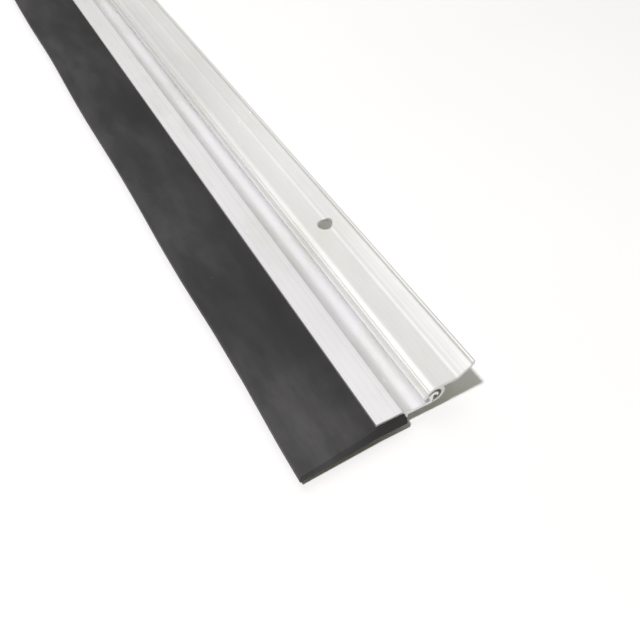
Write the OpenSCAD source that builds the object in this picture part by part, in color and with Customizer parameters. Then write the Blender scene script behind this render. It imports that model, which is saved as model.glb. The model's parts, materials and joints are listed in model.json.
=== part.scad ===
// Hinged door sweep, lying level with its underside at z = 0.
// A mounting flange and a carrier rail are two aluminium extrusions that hook
// into each other along a hinge barrel. The carrier's jaw holds a rubber blade.
// Sections are drawn with x across the sweep, from the blade's free edge, and
// y as the height. They are extruded along the length of the sweep.

/* [Length] */
// Length of both aluminium extrusions
rail_length = 914; // [400:1:1200]
// How far the rubber stands out past the aluminium at each end
blade_overhang = 3.2; // [0:0.1:6]

/* [Section] */
// Overall width, from the blade's free edge to the rim of the flange
overall_width = 63.5; // [62.5:0.1:66]
// Thickness of the extruded walls
wall = 1.2; // [1:0.05:1.3]

/* [Hinge] */
// Distance of the hinge axis from the blade's free edge
hinge_x = 49.4; // [49:0.1:50]
// Height of the hinge axis
hinge_z = 6.3; // [6.2:0.05:6.5]
// Outside diameter of the flange's barrel
barrel_diameter = 7.6; // [7.4:0.1:7.8]
// Outside diameter of the hooked bead that turns inside the barrel
bead_diameter = 3.5; // [3.2:0.1:3.6]

/* [Flange] */
// Where the flat land ends and the bend of the lip begins
crease_x = 56.6; // [56:0.1:57.5]
// Slope of the lip above the land, in degrees
lip_angle = 37; // [30:1:40]
// Diameter of the screw holes
hole_diameter = 5.6; // [4:0.1:6]
// Number of screw holes
hole_count = 4; // [2:1:8]
// Distance from each end of the flange to its nearest hole
hole_margin = 82; // [20:1:120]

/* [Carrier] */
// Distance of the jaw's mouth from the blade's free edge
jaw_x = 28; // [26:0.1:30]
// Width of the jaw's upper strip
jaw_width = 9.5; // [9:0.1:10]
// Distance from the upper strip to the foot of the ramp behind it
ramp_run = 4.5; // [4:0.1:5]

/* [Rubber blade] */
// Thickness of the rubber
blade_thickness = 3; // [2.8:0.05:3.1]

/* [Hidden] */

// Roundness of arcs in the sections
$fn = 48;

// Barrel: the mouth runs from the upper arm's tip round to the lower arm's end
barrel_radius = barrel_diameter / 2;
bore_radius = barrel_radius - wall;
mouth_from = 190;
mouth_to = 268;
groove_angle = 133;
groove_radius = 0.4;

// Land, lip and rim of the flange. The lip bends up at the crease and again into
// the rim, which stands upright and has a round edge
land_top = hinge_z + barrel_radius;
lip_bend = 2.5;
rim_bend = 0.5;
rim_height = 0.4;
lip_up = [-sin(lip_angle), cos(lip_angle)];
lip_along = [cos(lip_angle), sin(lip_angle)];
crease_centre = [crease_x, land_top + lip_bend];
rim_x = overall_width - wall - rim_bend;
lip_foot = crease_centre - (lip_bend - rim_bend) * lip_up;
rim_centre = lip_foot + (rim_x - lip_foot.x) / lip_along.x * lip_along;
rim_edge_centre = [overall_width - wall / 2, rim_centre.y + rim_height];

// Screw holes sit just inside the crease
hole_x = crease_x - 0.2;
hole_pitch = (rail_length - 2 * hole_margin) / (hole_count - 1);

// Carrier: jaw, ramp, web and plate. The plate is level with the barrel's underside
jaw_top = 2 * wall + blade_thickness;
jaw_right = jaw_x + jaw_width;
throat_x = jaw_right + 1.1;
throat_chamfer = 0.8;
plate_bottom = hinge_z - barrel_radius;
plate_top = plate_bottom + wall;
plate_end = hinge_x - 0.4;
ramp_drop = jaw_top - plate_top;
ramp_radius = (pow(ramp_run, 2) + pow(ramp_drop, 2)) / (2 * ramp_drop);
rib_height = 0.4;
rib_width = 0.8;
rib_root = 0.3;

// Neck and bead, as offsets from the hinge axis
neck_width = 1.1;
neck_height = 2.2;
bead_centre = [-0.25, -0.25];
hollow_centre = bead_centre + [0.5, -0.5];
hollow_radius = 0.75;

// Rubber: held between the jaws, with its free edge drooping to the floor
blade_gap = 0.1;
blade_length = rail_length + 2 * blade_overhang;

// A wedge from angle a to angle b around the origin, b - a under 180 degrees
module wedge(a, b, reach = 40) {
    polygon([
        [0, 0],
        reach * [cos(a), sin(a)],
        reach * [cos((a + b) / 2), sin((a + b) / 2)],
        reach * [cos(b), sin(b)]
    ]);
}

// Points along an arc around a centre, from angle a to angle b
function arc(centre, radius, a, b, steps = 8) = [
    for (i = [0 : steps])
        let (angle = a + (b - a) * i / steps)
            centre + radius * [cos(angle), sin(angle)]
];

// The land, the lip and the rim as one bent sheet
module lip_section() {
    polygon(concat(
        [[hinge_x, land_top - wall]],
        arc(crease_centre, lip_bend + wall, -90, lip_angle - 90),
        arc(rim_centre, rim_bend + wall, lip_angle - 90, 0),
        arc(rim_edge_centre, wall / 2, 0, 180),
        arc(rim_centre, rim_bend, 0, lip_angle - 90),
        arc(crease_centre, lip_bend, lip_angle - 90, -90),
        [[hinge_x, land_top]]
    ));
}

module flange_section() {
    difference() {
        union() {
            translate([hinge_x, hinge_z]) circle(barrel_radius);
            lip_section();
        }
        translate([hinge_x, hinge_z]) {
            circle(bore_radius);
            wedge(mouth_from, mouth_to);
            rotate(groove_angle) translate([barrel_radius, 0]) circle(groove_radius);
        }
    }
}

// Pointed ribs inside the jaw that bite into the rubber from above and below
module jaw_ribs() {
    for (x = [jaw_x + 1.4, jaw_x + 6]) {
        translate([x, jaw_top - wall]) jaw_rib();
        translate([x, wall]) rotate(180) jaw_rib();
    }
}

// One rib, pointing down, with its root sunk into the jaw
module jaw_rib() {
    polygon([
        [-rib_width / 2, rib_root],
        [-rib_width / 2, 0],
        [0, -rib_height],
        [rib_width / 2, 0],
        [rib_width / 2, rib_root]
    ]);
}

// The space between the jaws, as far back as x, which the rubber fills
module throat(front, back) {
    polygon([
        [front, wall],
        [back, wall],
        [back, jaw_top - wall - throat_chamfer],
        [back - throat_chamfer, jaw_top - wall],
        [front, jaw_top - wall]
    ]);
}

module carrier_section() {
    // Jaw and web, with a hollow ramp from the jaw's top down to the plate
    difference() {
        union() {
            translate([jaw_x, 0]) square([throat_x + wall - jaw_x, jaw_top]);
            translate([throat_x, plate_bottom]) square([plate_end - throat_x, ramp_drop + wall]);
        }
        throat(jaw_x - 1, throat_x);
        translate([jaw_right + ramp_run, plate_top + ramp_radius]) circle(ramp_radius);
        translate([jaw_right + ramp_run, plate_top]) square([plate_end, ramp_radius]);
    }
    jaw_ribs();
    // Neck and hooked bead, open towards the lower arm of the barrel
    translate([plate_end - neck_width, plate_bottom]) square([neck_width, neck_height]);
    translate([hinge_x, hinge_z]) difference() {
        translate(bead_centre) circle(d = bead_diameter);
        translate(hollow_centre) {
            circle(hollow_radius);
            wedge(-125, -30, bead_diameter);
        }
    }
}

module blade_section() {
    difference() {
        union() {
            throat(jaw_x, throat_x - blade_gap);
            polygon([
                [0, 0],
                [jaw_x, wall],
                [jaw_x, wall + blade_thickness],
                [0, blade_thickness]
            ]);
        }
        jaw_ribs();
    }
}

// Turns a section upright and runs it along the sweep, centred on the origin
module run_along(length) {
    translate([-overall_width / 2, 0, 0])
        rotate([90, 0, 0])
            linear_extrude(length, center = true) children();
}

module mounting_flange() {
    color("gainsboro") difference() {
        run_along(rail_length) flange_section();
        for (i = [0 : hole_count - 1])
            translate([
                hole_x - overall_width / 2,
                (i - (hole_count - 1) / 2) * hole_pitch,
                0
            ])
                cylinder(h = 2 * land_top, d = hole_diameter);
    }
}

module carrier_rail() {
    color("gainsboro") run_along(rail_length) carrier_section();
}

module rubber_blade() {
    color("dimgray") run_along(blade_length) blade_section();
}

mounting_flange();
carrier_rail();
rubber_blade();
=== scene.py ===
import json
import math

import bmesh
import bpy
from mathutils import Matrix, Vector, noise


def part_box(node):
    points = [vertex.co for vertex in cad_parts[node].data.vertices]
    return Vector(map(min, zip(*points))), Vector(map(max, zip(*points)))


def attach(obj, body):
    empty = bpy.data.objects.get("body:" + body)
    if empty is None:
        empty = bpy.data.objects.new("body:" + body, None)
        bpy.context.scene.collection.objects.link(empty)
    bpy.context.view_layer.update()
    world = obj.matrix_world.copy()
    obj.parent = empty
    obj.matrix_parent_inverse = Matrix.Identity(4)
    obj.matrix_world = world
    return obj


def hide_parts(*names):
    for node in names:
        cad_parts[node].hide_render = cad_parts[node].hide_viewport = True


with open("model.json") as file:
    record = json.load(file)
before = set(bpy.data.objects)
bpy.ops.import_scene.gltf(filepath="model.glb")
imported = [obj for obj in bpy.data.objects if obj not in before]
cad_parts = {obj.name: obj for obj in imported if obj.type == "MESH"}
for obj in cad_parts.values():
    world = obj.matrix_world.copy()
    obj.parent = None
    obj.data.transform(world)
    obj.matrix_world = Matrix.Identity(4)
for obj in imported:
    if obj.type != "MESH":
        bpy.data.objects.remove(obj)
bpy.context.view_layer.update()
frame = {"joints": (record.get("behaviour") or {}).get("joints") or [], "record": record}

# A hinged door sweep on a pale floor. Sections are drawn across the sweep, with x to
# the right and z up, at the places that the frame gives, and run along Y.

MM = 0.001

FLANGE_LOW, FLANGE_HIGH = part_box("mounting_flange")
CARRIER_LOW, CARRIER_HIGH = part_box("carrier_rail")
BLADE_LOW, BLADE_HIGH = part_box("rubber_blade")
HINGE = Vector(frame["joints"][0]["pos_m"])
MOUNTS = {mount["name"]: mount for mount in frame["record"]["mounts"]}

# Sizes that both extrusions share
WALL = 1.2 * MM
BARREL_RADIUS = HINGE.x - FLANGE_LOW.x
BORE_RADIUS = BARREL_RADIUS - WALL
LAND_TOP = HINGE.z + BARREL_RADIUS
PLATE_BOTTOM = FLANGE_LOW.z
PLATE_TOP = PLATE_BOTTOM + WALL
JAW_TOP = BLADE_HIGH.z + WALL

# Flange. Angles are in degrees, anticlockwise from +X
HOLE_TO_CREASE = 0.2 * MM
CREASE_X = MOUNTS["inner_screw_holes"]["pos_m"][0] + HOLE_TO_CREASE
LIP_ANGLE = 37
LIP_BEND = 2.5 * MM
RIM_BEND = 0.5 * MM
RIM_HEIGHT = 0.4 * MM
MOUTH_FROM = 190
MOUTH_TO = 268
GROOVE_ANGLE = 133
GROOVE_RADIUS = 0.4 * MM
DRILL_DEPTH = 10 * MM
DRILL_SIDES = 48
HOLE_EDGE_BREAK = 0.2 * MM

# Carrier. The bead is set off from the hinge axis, and its hollow from the bead
JAW_X = CARRIER_LOW.x
JAW_WIDTH = 9.5 * MM
JAW_RIGHT = JAW_X + JAW_WIDTH
THROAT_BEHIND_JAW = 1.1 * MM
THROAT_X = JAW_RIGHT + THROAT_BEHIND_JAW
THROAT_CHAMFER = 0.8 * MM
RAMP_RUN = 4.5 * MM
PLATE_TO_HINGE = 0.4 * MM
PLATE_END = HINGE.x - PLATE_TO_HINGE
NECK_WIDTH = 1.1 * MM
NECK_ROOT = 224
BEAD_RADIUS = 1.75 * MM
BEAD_SHIFT = 0.25 * MM
BEAD_TIP = -36
HOLLOW_RADIUS = 0.75 * MM
HOLLOW_SHIFT = 0.5 * MM
SLIT_FROM = -125
SLIT_TO = -30

# Finish of both extrusions
EXTRUSION_CORNER = 0.15 * MM
SAW_EDGE_BREAK = 0.05 * MM
EXTRUSION_LENGTHS = 24
SMOOTH_ANGLE = 32

# Rubber. Its free edge wanders a little, and its cut ends slant inwards towards the jaw.
# The slant is over within the cut's reach
BLADE_THICKNESS = BLADE_HIGH.z - WALL
BLADE_CORNER = 0.2 * MM
BLADE_EDGE_BREAK = 0.12 * MM
BLADE_LENGTHS = 300
BLADE_COLUMNS = 24
EDGE_WAVE = 0.6 * MM
WAVE_LENGTH = 110 * MM
EDGE_DRIFT = 0.35
RIPPLE = 0.12 * MM
CUT_SKEW = 1.0 * MM
CUT_LEAN = 1.2 * MM
CUT_REACH = 3 * MM

# Noise grains per metre of the free edge's drift and of the ripple, and the layers they use
DRIFT_GRAINS = 23
DRIFT_LAYER = 5.1
RIPPLE_GRAINS_ALONG = 17
RIPPLE_GRAINS_ACROSS = 40
RIPPLE_LAYER = 2.2

# Rounding of an outline's corners: those that turn by more than this many degrees, taking
# at most this share of each side, in this many steps. The mitre limit keeps a very sharp
# corner from being moved too far
ROUNDED_TURN = 35
ROUNDED_SHARE = 0.45
ROUNDED_STEPS = 3
MITRE_LIMIT = 0.3


# ---------------------------------------------------------------- outlines

def arc(centre, radius, start, end, step=6):
    """Points along an arc in the section plane, with its angles in degrees."""
    count = max(2, math.ceil(abs(end - start) / step))
    angles = [math.radians(start + (end - start) * i / count) for i in range(count + 1)]
    return [
        Vector((centre[0] + radius * math.cos(a), centre[1] + radius * math.sin(a)))
        for a in angles
    ]


def softened(outline, radius):
    """The outline with its clear corners made round."""
    result = []
    for i, here in enumerate(outline):
        back = outline[i - 1] - here
        ahead = outline[(i + 1) % len(outline)] - here
        turn = math.pi - back.angle(ahead)
        if turn < math.radians(ROUNDED_TURN):
            result.append(here)
            continue
        longest = ROUNDED_SHARE * min(back.length, ahead.length)
        reach = min(radius * math.tan(turn / 2), longest)
        first = here + back.normalized() * reach
        last = here + ahead.normalized() * reach
        for k in range(ROUNDED_STEPS + 1):
            t = k / ROUNDED_STEPS
            result.append(first * (1 - t) ** 2 + here * 2 * t * (1 - t) + last * t ** 2)
    return result


def inset(outline, distance):
    """The outline moved inwards, with mitred corners. Outlines run anticlockwise."""
    moved = []
    for i, here in enumerate(outline):
        before = (here - outline[i - 1]).normalized()
        after = (outline[(i + 1) % len(outline)] - here).normalized()
        inward = Vector((-before.y - after.y, before.x + after.x))
        moved.append(here + inward * distance / max(MITRE_LIMIT, 1 + before.dot(after)))
    return moved


def with_end(outline, radius, edge_break):
    """The rounded outline of a piece, and the slightly smaller one of its cut end."""
    return softened(outline, radius), softened(inset(outline, edge_break), radius - edge_break)


def flange_outline():
    """Land, lip and rim as one bent sheet, then round the C-shaped barrel and back."""
    hinge = (HINGE.x, HINGE.z)
    up = Vector((-math.sin(math.radians(LIP_ANGLE)), math.cos(math.radians(LIP_ANGLE))))
    along = Vector((up.y, -up.x))
    crease = Vector((CREASE_X, LAND_TOP + LIP_BEND))
    foot = crease - up * (LIP_BEND - RIM_BEND)
    rim = foot + along * ((FLANGE_HIGH.x - WALL - RIM_BEND - foot.x) / along.x)
    edge = (FLANGE_HIGH.x - WALL / 2, rim.y + RIM_HEIGHT)
    junction = math.degrees(math.asin(BORE_RADIUS / BARREL_RADIUS))
    groove = (
        HINGE.x + BARREL_RADIUS * math.cos(math.radians(GROOVE_ANGLE)),
        HINGE.z + BARREL_RADIUS * math.sin(math.radians(GROOVE_ANGLE)),
    )
    half = math.degrees(2 * math.asin(GROOVE_RADIUS / (2 * BARREL_RADIUS)))
    return (
        arc(crease, LIP_BEND + WALL, -90, LIP_ANGLE - 90)
        + arc(rim, RIM_BEND + WALL, LIP_ANGLE - 90, 0)
        + arc(edge, WALL / 2, 0, 180, step=15)
        + arc(rim, RIM_BEND, 0, LIP_ANGLE - 90)
        + arc(crease, LIP_BEND, LIP_ANGLE - 90, -90)
        + arc(hinge, BARREL_RADIUS, 90, GROOVE_ANGLE - half)
        + arc(groove, GROOVE_RADIUS, GROOVE_ANGLE - 90, GROOVE_ANGLE - 270, step=20)[1:-1]
        + arc(hinge, BARREL_RADIUS, GROOVE_ANGLE + half, MOUTH_FROM)
        + arc(hinge, BORE_RADIUS, MOUTH_FROM, MOUTH_TO - 360)
        + arc(hinge, BARREL_RADIUS, MOUTH_TO - 360, junction)
    )


def carrier_outline():
    """Jaw, web and plate underneath, round the hooked bead, and back over the ramp."""
    bead = Vector((HINGE.x - BEAD_SHIFT, HINGE.z - BEAD_SHIFT))
    hollow = bead + Vector((HOLLOW_SHIFT, -HOLLOW_SHIFT))
    neck_x = PLATE_END - NECK_WIDTH
    drop = JAW_TOP - PLATE_TOP
    ramp_radius = (RAMP_RUN ** 2 + drop ** 2) / (2 * drop)
    ramp = (JAW_RIGHT + RAMP_RUN, PLATE_TOP + ramp_radius)
    ramp_turn = math.degrees(math.asin(RAMP_RUN / ramp_radius))
    slit_foot = hollow.y + (PLATE_END - hollow.x) * math.tan(math.radians(SLIT_FROM))
    return (
        [Vector((JAW_X, 0)), Vector((THROAT_X + WALL, 0)), Vector((THROAT_X + WALL, PLATE_BOTTOM))]
        + [Vector((PLATE_END, PLATE_BOTTOM)), Vector((PLATE_END, slit_foot))]
        + arc(hollow, HOLLOW_RADIUS, SLIT_FROM, SLIT_TO - 360, step=15)
        + arc(bead, BEAD_RADIUS, BEAD_TIP, NECK_ROOT, step=10)
        + [Vector((neck_x, PLATE_TOP))]
        + arc(ramp, ramp_radius, -90, -90 - ramp_turn, step=4)
        + [Vector((JAW_X, JAW_TOP)), Vector((JAW_X, JAW_TOP - WALL))]
        + [Vector((THROAT_X - THROAT_CHAMFER, JAW_TOP - WALL))]
        + [Vector((THROAT_X, JAW_TOP - WALL - THROAT_CHAMFER))]
        + [Vector((THROAT_X, WALL)), Vector((JAW_X, WALL))]
    )


# ---------------------------------------------------------------- meshes

def finished(name, bm, material):
    """A mesh object from bm, smooth except across its sharp edges."""
    bmesh.ops.recalc_face_normals(bm, faces=bm.faces)
    mesh = bpy.data.meshes.new(name)
    bm.to_mesh(mesh)
    bm.free()
    mesh.shade_smooth()
    mesh.set_sharp_from_angle(angle=math.radians(SMOOTH_ANGLE))
    mesh.materials.append(material)
    piece = bpy.data.objects.new(name, mesh)
    bpy.context.scene.collection.objects.link(piece)
    return piece


def swept(sections):
    """A closed bmesh through sections, each a rule for its points' Y and an outline.

    All the outlines have the same number of points.
    """
    bm = bmesh.new()
    rings = [[bm.verts.new((p[0], y_of(p), p[1])) for p in outline] for y_of, outline in sections]
    for near, far in zip(rings, rings[1:]):
        for i in range(len(near)):
            k = (i + 1) % len(near)
            bm.faces.new((near[i], near[k], far[k], far[i]))
    bm.faces.new(rings[0])
    bm.faces.new(reversed(rings[-1]))
    return bm


def evenly(start, end, steps):
    """Places from start to end, both included."""
    return [start + (end - start) * i / steps for i in range(steps + 1)]


def extrusion(outline, low, high):
    """A straight extrusion from low.y to high.y, its saw-cut ends lightly broken."""
    outline, cut_outline = with_end(outline, EXTRUSION_CORNER, SAW_EDGE_BREAK)
    start, end = low.y + SAW_EDGE_BREAK, high.y - SAW_EDGE_BREAK
    stations = evenly(start, end, EXTRUSION_LENGTHS)
    sections = [(lambda p, y=y: y, outline) for y in stations]
    sections.insert(0, (lambda p: low.y, cut_outline))
    sections.append((lambda p: high.y, cut_outline))
    return swept(sections)


def drill_holes(piece, centres, radius):
    """Cuts round holes along Z, each with a small chamfer left by deburring."""
    bm = bmesh.new()
    for centre in centres:
        made = bmesh.ops.create_cone(
            bm,
            cap_ends=True,
            segments=DRILL_SIDES,
            radius1=radius,
            radius2=radius,
            depth=DRILL_DEPTH,
        )
        bmesh.ops.translate(bm, verts=made["verts"], vec=centre)
    drill = finished(piece.name + "_drill", bm, piece.data.materials[0])
    cut = piece.modifiers.new("holes", "BOOLEAN")
    cut.operation = "DIFFERENCE"
    cut.solver = "EXACT"
    cut.object = drill
    bpy.context.view_layer.update()
    evaluated = piece.evaluated_get(bpy.context.evaluated_depsgraph_get())
    piece.data = bpy.data.meshes.new_from_object(evaluated)
    piece.modifiers.clear()
    bpy.data.objects.remove(drill)
    break_hole_edges(piece.data, centres, radius)


def break_hole_edges(mesh, centres, radius):
    """Bevels the edges where a hole's upright wall meets the sheet."""
    nearness = 0.02 * MM
    upright_slope = 0.1
    bm = bmesh.new()
    bm.from_mesh(mesh)

    def on_wall(vert):
        return any(abs((vert.co - c).xy.length - radius) < nearness for c in centres)

    rims = []
    for e in bm.edges:
        if len(e.link_faces) != 2 or not all(on_wall(v) for v in e.verts):
            continue
        upright = [abs(f.normal.z) < upright_slope for f in e.link_faces]
        if upright[0] != upright[1]:
            rims.append(e)
    bmesh.ops.bevel(
        bm, geom=rims, offset=HOLE_EDGE_BREAK, segments=2, profile=0.5, affect="EDGES"
    )
    bm.to_mesh(mesh)
    bm.free()


def even_shading(piece):
    """Flat faces stay flat beside their small rounded corners."""
    weighted = piece.modifiers.new("even_shading", "WEIGHTED_NORMAL")
    weighted.keep_sharp = True
    weighted.weight = 80


# ---------------------------------------------------------------- materials

# Base colours, roughness and the height of the fine relief. The flange and the carrier are the same
# alloy. The flange's copy is darker, which is painted shade, and the carrier's copy is lighter,
# which is painted light; together they set how bright each part looks under these lamps
FLANGE_DULL = (0.74, 0.74, 0.735, 1)
FLANGE_BRIGHT = (0.84, 0.84, 0.83, 1)
FLANGE_ROUGHNESS = 0.8
CARRIER_DULL = (0.82, 0.815, 0.83, 1)
CARRIER_BRIGHT = (0.93, 0.92, 0.935, 1)
CARRIER_ROUGHNESS = 0.68
METAL_SMUDGE = (0.74, 0.75, 0.69, 1)
METAL_DIE_LINE = (0.66, 0.66, 0.67, 1)
METAL_NICK = (0.97, 0.97, 0.97, 1)
METAL_RELIEF = 0.02 * MM

RUBBER_AT_JAW = (0.0175, 0.0165, 0.0180, 1)
RUBBER_AT_EDGE = (0.037, 0.036, 0.038, 1)
RUBBER_WORN = (0.070, 0.068, 0.070, 1)
RUBBER_BAND = (0.075, 0.073, 0.070, 1)
RUBBER_SPECK = (0.45, 0.44, 0.42, 1)
RUBBER_RELIEF = 0.08 * MM
RUBBER_WORN_LENGTH = 55 * MM

TABLE_DARKER = (0.88, 0.88, 0.87, 1)
TABLE_LIGHTER = (0.93, 0.93, 0.92, 1)


def node(tree, kind, inputs=(), **settings):
    """A shader node with its settings and its input values or links in place."""
    made = tree.nodes.new(kind)
    for key, value in settings.items():
        setattr(made, key, value)
    for key, value in dict(inputs).items():
        if isinstance(value, bpy.types.NodeSocket):
            tree.links.new(value, made.inputs[key])
        else:
            made.inputs[key].default_value = value
    return made


def new_material(name):
    """An empty material, its tree, its shader and its object coordinates."""
    material = bpy.data.materials.new(name)
    material.use_nodes = True
    tree = material.node_tree
    shader = tree.nodes["Principled BSDF"]
    place = node(tree, "ShaderNodeTexCoord").outputs["Object"]
    return material, tree, shader, place


def stretched_noise(tree, place, scale, detail, roughness, offset=(0, 0, 0)):
    """Noise whose grains are scale times per metre along each axis."""
    mapped = node(tree, "ShaderNodeMapping", {"Vector": place, "Scale": scale, "Location": offset})
    made = node(
        tree,
        "ShaderNodeTexNoise",
        {"Vector": mapped.outputs["Vector"], "Scale": 1.0, "Detail": detail, "Roughness": roughness},
    )
    return made.outputs["Fac"]


def remap(tree, value, low, high, to_low, to_high):
    """value from [low, high] to [to_low, to_high], held at the ends."""
    made = node(
        tree,
        "ShaderNodeMapRange",
        {"Value": value, "From Min": low, "From Max": high, "To Min": to_low, "To Max": to_high},
    )
    return made.outputs["Result"]


def math_node(tree, operation, a, b):
    """The result of a sum or product of two values or links."""
    return node(tree, "ShaderNodeMath", {0: a, 1: b}, operation=operation).outputs["Value"]


def blended(tree, factor, a, b, kind="MIX"):
    """Colour a with colour b over it by a factor."""
    made = node(tree, "ShaderNodeMix", {0: factor, 6: a, 7: b}, data_type="RGBA", blend_type=kind)
    return made.outputs[2]


def add_relief(tree, shader, height, strength, distance):
    """Fine relief on the surface, up to a distance high."""
    bump = node(
        tree, "ShaderNodeBump", {"Height": height, "Strength": strength, "Distance": distance}
    )
    tree.links.new(bump.outputs["Normal"], shader.inputs["Normal"])


def mill_aluminium(name, seed, dull, bright, roughest):
    """Bare extruded aluminium in cloudy patches from dull to bright, with die lines and nicks."""
    material, tree, shader, place = new_material(name)
    die_lines = stretched_noise(tree, place, (900, 1.5, 900), 4, 0.7, (seed, seed, 0))
    clouds = stretched_noise(tree, place, (30, 9, 30), 4, 0.6, (seed, 3 * seed, 0))
    smudges = stretched_noise(tree, place, (70, 22, 70), 5, 0.65, (7 * seed, seed, 0))
    nicks = stretched_noise(tree, place, (420, 170, 420), 1, 0.4, (seed, 0, 5 * seed))

    colour = blended(tree, remap(tree, clouds, 0.3, 0.7, 0, 1), dull, bright)
    colour = blended(tree, remap(tree, smudges, 0.5, 0.72, 0, 0.6), colour, METAL_SMUDGE)
    colour = blended(tree, remap(tree, die_lines, 0.5, 0.72, 0, 0.4), colour, METAL_DIE_LINE)
    colour = blended(tree, remap(tree, nicks, 0.79, 0.83, 0, 0.8), colour, METAL_NICK)
    tree.links.new(colour, shader.inputs["Base Color"])
    shader.inputs["Metallic"].default_value = 1.0

    dulled = remap(tree, clouds, 0.25, 0.75, roughest, roughest - 0.1)
    lined = remap(tree, die_lines, 0.3, 0.7, -0.05, 0.05)
    tree.links.new(math_node(tree, "ADD", dulled, lined), shader.inputs["Roughness"])

    height = math_node(tree, "ADD", die_lines, remap(tree, nicks, 0.77, 0.83, 0, -3))
    add_relief(tree, shader, height, 0.25, METAL_RELIEF)
    return material


def black_rubber(name):
    """Matt black rubber, greyer towards its free edge and ends, with mottling and pale specks."""
    material, tree, shader, place = new_material(name)
    streaks = stretched_noise(tree, place, (95, 30, 95), 5, 0.62)
    patches = stretched_noise(tree, place, (34, 22, 34), 3, 0.5, (4, 1, 0))
    bands = stretched_noise(tree, place, (26, 75, 26), 3, 0.5, (2, 7, 0))
    grain = stretched_noise(tree, place, (1800, 1800, 1800), 3, 0.6)
    specks = stretched_noise(tree, place, (520, 520, 520), 1, 0.3, (3, 9, 0))
    position = node(tree, "ShaderNodeSeparateXYZ", {"Vector": place})
    across = position.outputs["X"]
    along = node(tree, "ShaderNodeMath", {0: position.outputs["Y"]}, operation="ABSOLUTE")
    from_middle = along.outputs["Value"]

    edge_wear = remap(tree, across, BLADE_LOW.x, JAW_X, 1, 0)
    end_wear = remap(tree, from_middle, BLADE_HIGH.y - RUBBER_WORN_LENGTH, BLADE_HIGH.y, 0, 1)
    colour = blended(tree, edge_wear, RUBBER_AT_JAW, RUBBER_AT_EDGE)
    worn = math_node(tree, "MULTIPLY", math_node(tree, "MULTIPLY", edge_wear, end_wear), 0.6)
    colour = blended(tree, worn, colour, RUBBER_WORN)
    banded = math_node(tree, "MULTIPLY", remap(tree, bands, 0.5, 0.7, 0, 0.25), end_wear)
    colour = blended(tree, banded, colour, RUBBER_BAND)
    colour = blended(tree, 1.0, colour, remap(tree, streaks, 0.38, 0.62, 0.70, 1.30), "MULTIPLY")
    colour = blended(tree, 1.0, colour, remap(tree, patches, 0.35, 0.65, 0.78, 1.22), "MULTIPLY")
    colour = blended(tree, remap(tree, specks, 0.815, 0.84, 0, 0.45), colour, RUBBER_SPECK)
    tree.links.new(colour, shader.inputs["Base Color"])

    tree.links.new(remap(tree, streaks, 0.3, 0.7, 0.60, 0.76), shader.inputs["Roughness"])
    shader.inputs["Specular IOR Level"].default_value = 0.4
    height = math_node(tree, "ADD", math_node(tree, "MULTIPLY", grain, 0.35), streaks)
    add_relief(tree, shader, height, 0.35, RUBBER_RELIEF)
    return material


def pale_floor(name):
    """A smooth, slightly warm white table top."""
    material, tree, shader, place = new_material(name)
    shade = stretched_noise(tree, place, (6, 6, 6), 2, 0.5)
    colour = blended(tree, shade, TABLE_DARKER, TABLE_LIGHTER)
    tree.links.new(colour, shader.inputs["Base Color"])
    shader.inputs["Roughness"].default_value = 0.7
    return material


# ---------------------------------------------------------------- pieces

def make_flange():
    """The flange, with its row of screw holes in two pairs about the middle."""
    piece = finished(
        "flange_extrusion",
        extrusion(flange_outline(), FLANGE_LOW, FLANGE_HIGH),
        mill_aluminium("flange_mill_aluminium", 1.0, FLANGE_DULL, FLANGE_BRIGHT, FLANGE_ROUGHNESS),
    )
    centres = []
    for name in ("inner_screw_holes", "outer_screw_holes"):
        mount = MOUNTS[name]
        half = mount["dims"]["spacing_y_mm"] * MM / 2
        centres += [Vector(mount["pos_m"]) + Vector((0, side * half, 0)) for side in (-1, 1)]
    radius = MOUNTS["inner_screw_holes"]["dims"]["hole_r_mm"] * MM
    drill_holes(piece, centres, radius)
    even_shading(piece)
    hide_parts("mounting_flange")
    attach(piece, "flange")


def make_carrier():
    """The carrier rail, with its jaw, plate and hooked bead."""
    piece = finished(
        "carrier_extrusion",
        extrusion(carrier_outline(), CARRIER_LOW, CARRIER_HIGH),
        mill_aluminium(
            "carrier_mill_aluminium", 4.0, CARRIER_DULL, CARRIER_BRIGHT, CARRIER_ROUGHNESS
        ),
    )
    even_shading(piece)
    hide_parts("carrier_rail")
    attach(piece, "carrier")


def blade_edge(y):
    """Where the rubber's slightly wavy free edge is at y."""
    wave = 0.5 - 0.5 * math.cos(2 * math.pi * (y - BLADE_LOW.y) / WAVE_LENGTH)
    drift = EDGE_DRIFT * noise.noise(Vector((y * DRIFT_GRAINS, DRIFT_LAYER, 0)))
    return BLADE_LOW.x + EDGE_WAVE * min(1, max(0, wave + drift))


def blade_lift(x, y):
    """Height of the rubber's underside: level in the jaw, drooping to the free edge."""
    edge = blade_edge(y)
    t = min(1, max(0, (x - edge) / (JAW_X - edge)))
    grain = Vector((y * RIPPLE_GRAINS_ALONG, x * RIPPLE_GRAINS_ACROSS, RIPPLE_LAYER))
    ripple = RIPPLE * (1 - t) * (0.5 + 0.5 * noise.noise(grain))
    return WALL * t + ripple


def blade_outline(y):
    """The rubber's outline at y: its underside, its heel in the jaw, and back over the top."""
    xs = evenly(blade_edge(y), JAW_X, BLADE_COLUMNS - 1)
    back, top = BLADE_HIGH.x, WALL + BLADE_THICKNESS
    under = [Vector((x, blade_lift(x, y))) for x in xs]
    over = [Vector((x, blade_lift(x, y) + BLADE_THICKNESS)) for x in reversed(xs)]
    heel = [
        Vector((back, WALL)),
        Vector((back, top - THROAT_CHAMFER)),
        Vector((back - THROAT_CHAMFER, top)),
    ]
    return under + heel + over


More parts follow.
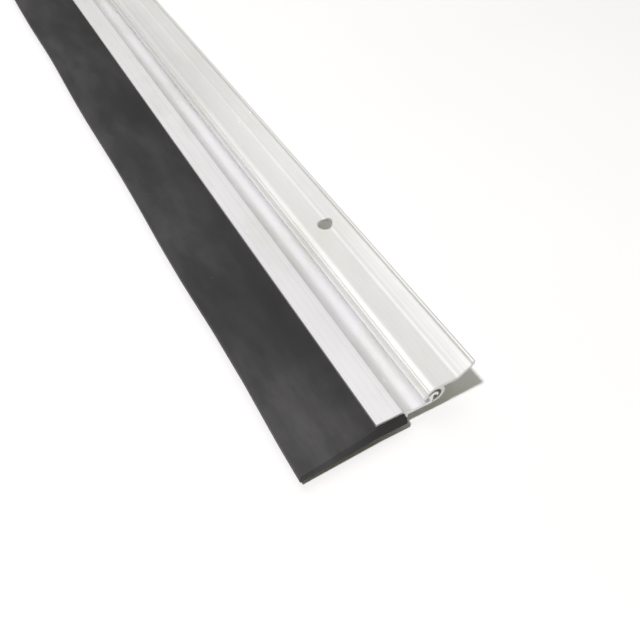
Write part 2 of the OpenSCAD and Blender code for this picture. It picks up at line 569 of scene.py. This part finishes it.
def knife_cut(point, end, inwards):
    """The Y of a point on the rubber's cut end, which is neither square nor upright."""
    across = min(1, max(0, (point.x - BLADE_LOW.x) / (JAW_X - BLADE_LOW.x)))
    height = min(1, max(0, (point.y - WALL * across) / BLADE_THICKNESS))
    return end + inwards * across * (CUT_SKEW + CUT_LEAN * height)


def make_blade():
    """The rubber strip, from one knife-cut end to the other."""
    low, high = BLADE_LOW.y, BLADE_HIGH.y
    low_outline, low_cut = with_end(blade_outline(low), BLADE_CORNER, BLADE_EDGE_BREAK)
    high_outline, high_cut = with_end(blade_outline(high), BLADE_CORNER, BLADE_EDGE_BREAK)
    sections = [
        (lambda p: knife_cut(p, low, 1), low_cut),
        (lambda p: knife_cut(p, low + BLADE_EDGE_BREAK, 1), low_outline),
    ]
    for y in evenly(low + CUT_REACH, high - CUT_REACH, BLADE_LENGTHS):
        sections.append((lambda p, y=y: y, softened(blade_outline(y), BLADE_CORNER)))
    sections.append((lambda p: knife_cut(p, high - BLADE_EDGE_BREAK, -1), high_outline))
    sections.append((lambda p: knife_cut(p, high, -1), high_cut))
    piece = finished("rubber_strip", swept(sections), black_rubber("blade_black_rubber"))
    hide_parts("rubber_blade")
    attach(piece, "carrier")


# ---------------------------------------------------------------- studio

# Gaps between the part and the table, and how far the table reaches each way in metres
NEAR_END_GAP = 1.9 * MM
FAR_END_GAP = 0.02 * MM
TABLE_REACH = 3

# Where the lights aim, and the light from all round
NEAR_END = (0, -0.42, 0)
MIDDLE = (0, -0.1, 0)
WORLD_COLOUR = (1.0, 1.0, 0.78, 1)
WORLD_STRENGTH = 0.21

# Camera. It is tilted up from straight down, then turned about Z, both in degrees
CAMERA_PLACE = (-0.0733, -0.5465, 0.185)
CAMERA_TILT = 40.6
CAMERA_HEADING = -29.2
CAMERA_LENS = 38.925
CAMERA_NEAREST = 0.01


def make_floor():
    """A table top that the far end all but touches. The near end stands a little clear of it."""
    slope = (NEAR_END_GAP - FAR_END_GAP) / (BLADE_HIGH.y - BLADE_LOW.y)
    bm = bmesh.new()
    bmesh.ops.create_grid(bm, x_segments=1, y_segments=1, size=TABLE_REACH)
    for vert in bm.verts:
        vert.co.z = slope * (vert.co.y - BLADE_HIGH.y) - FAR_END_GAP
    floor = finished("table_top", bm, pale_floor("pale_table"))


def soft_light(name, place, aim, size, power, colour):
    """A square area light that faces a point."""
    lamp = bpy.data.lights.new(name, "AREA")
    lamp.shape = "SQUARE"
    lamp.size = size
    lamp.energy = power
    lamp.color = colour
    holder = bpy.data.objects.new(name, lamp)
    holder.location = place
    holder.rotation_euler = (Vector(aim) - Vector(place)).to_track_quat("-Z", "Y").to_euler()
    bpy.context.scene.collection.objects.link(holder)


def make_lights():
    """A small, strong light that casts the shadows, a wide soft one, and a faint surround."""
    world = bpy.data.worlds.new("studio")
    world.use_nodes = True
    background = world.node_tree.nodes["Background"]
    background.inputs["Color"].default_value = WORLD_COLOUR
    background.inputs["Strength"].default_value = WORLD_STRENGTH
    bpy.context.scene.world = world
    soft_light(
        "key_left",
        place=(-0.90, -0.50, 2.15),
        aim=NEAR_END,
        size=0.18,
        power=49,
        colour=(0.98, 0.96, 1.0),
    )
    soft_light(
        "overhead",
        place=(0.15, 0.55, 1.3),
        aim=MIDDLE,
        size=1.3,
        power=5.5,
        colour=(0.97, 0.96, 1.0),
    )


def make_camera():
    """A camera above the near end, looking down along the sweep."""
    lens = bpy.data.cameras.new("camera")
    lens.lens = CAMERA_LENS
    lens.clip_start = CAMERA_NEAREST
    camera = bpy.data.objects.new("camera", lens)
    camera.location = CAMERA_PLACE
    camera.rotation_euler = (math.radians(CAMERA_TILT), 0, math.radians(CAMERA_HEADING))
    bpy.context.scene.collection.objects.link(camera)
    bpy.context.scene.camera = camera


make_flange()
make_carrier()
make_blade()
make_floor()
make_lights()
make_camera()
bpy.context.scene.view_settings.view_transform = "Standard"
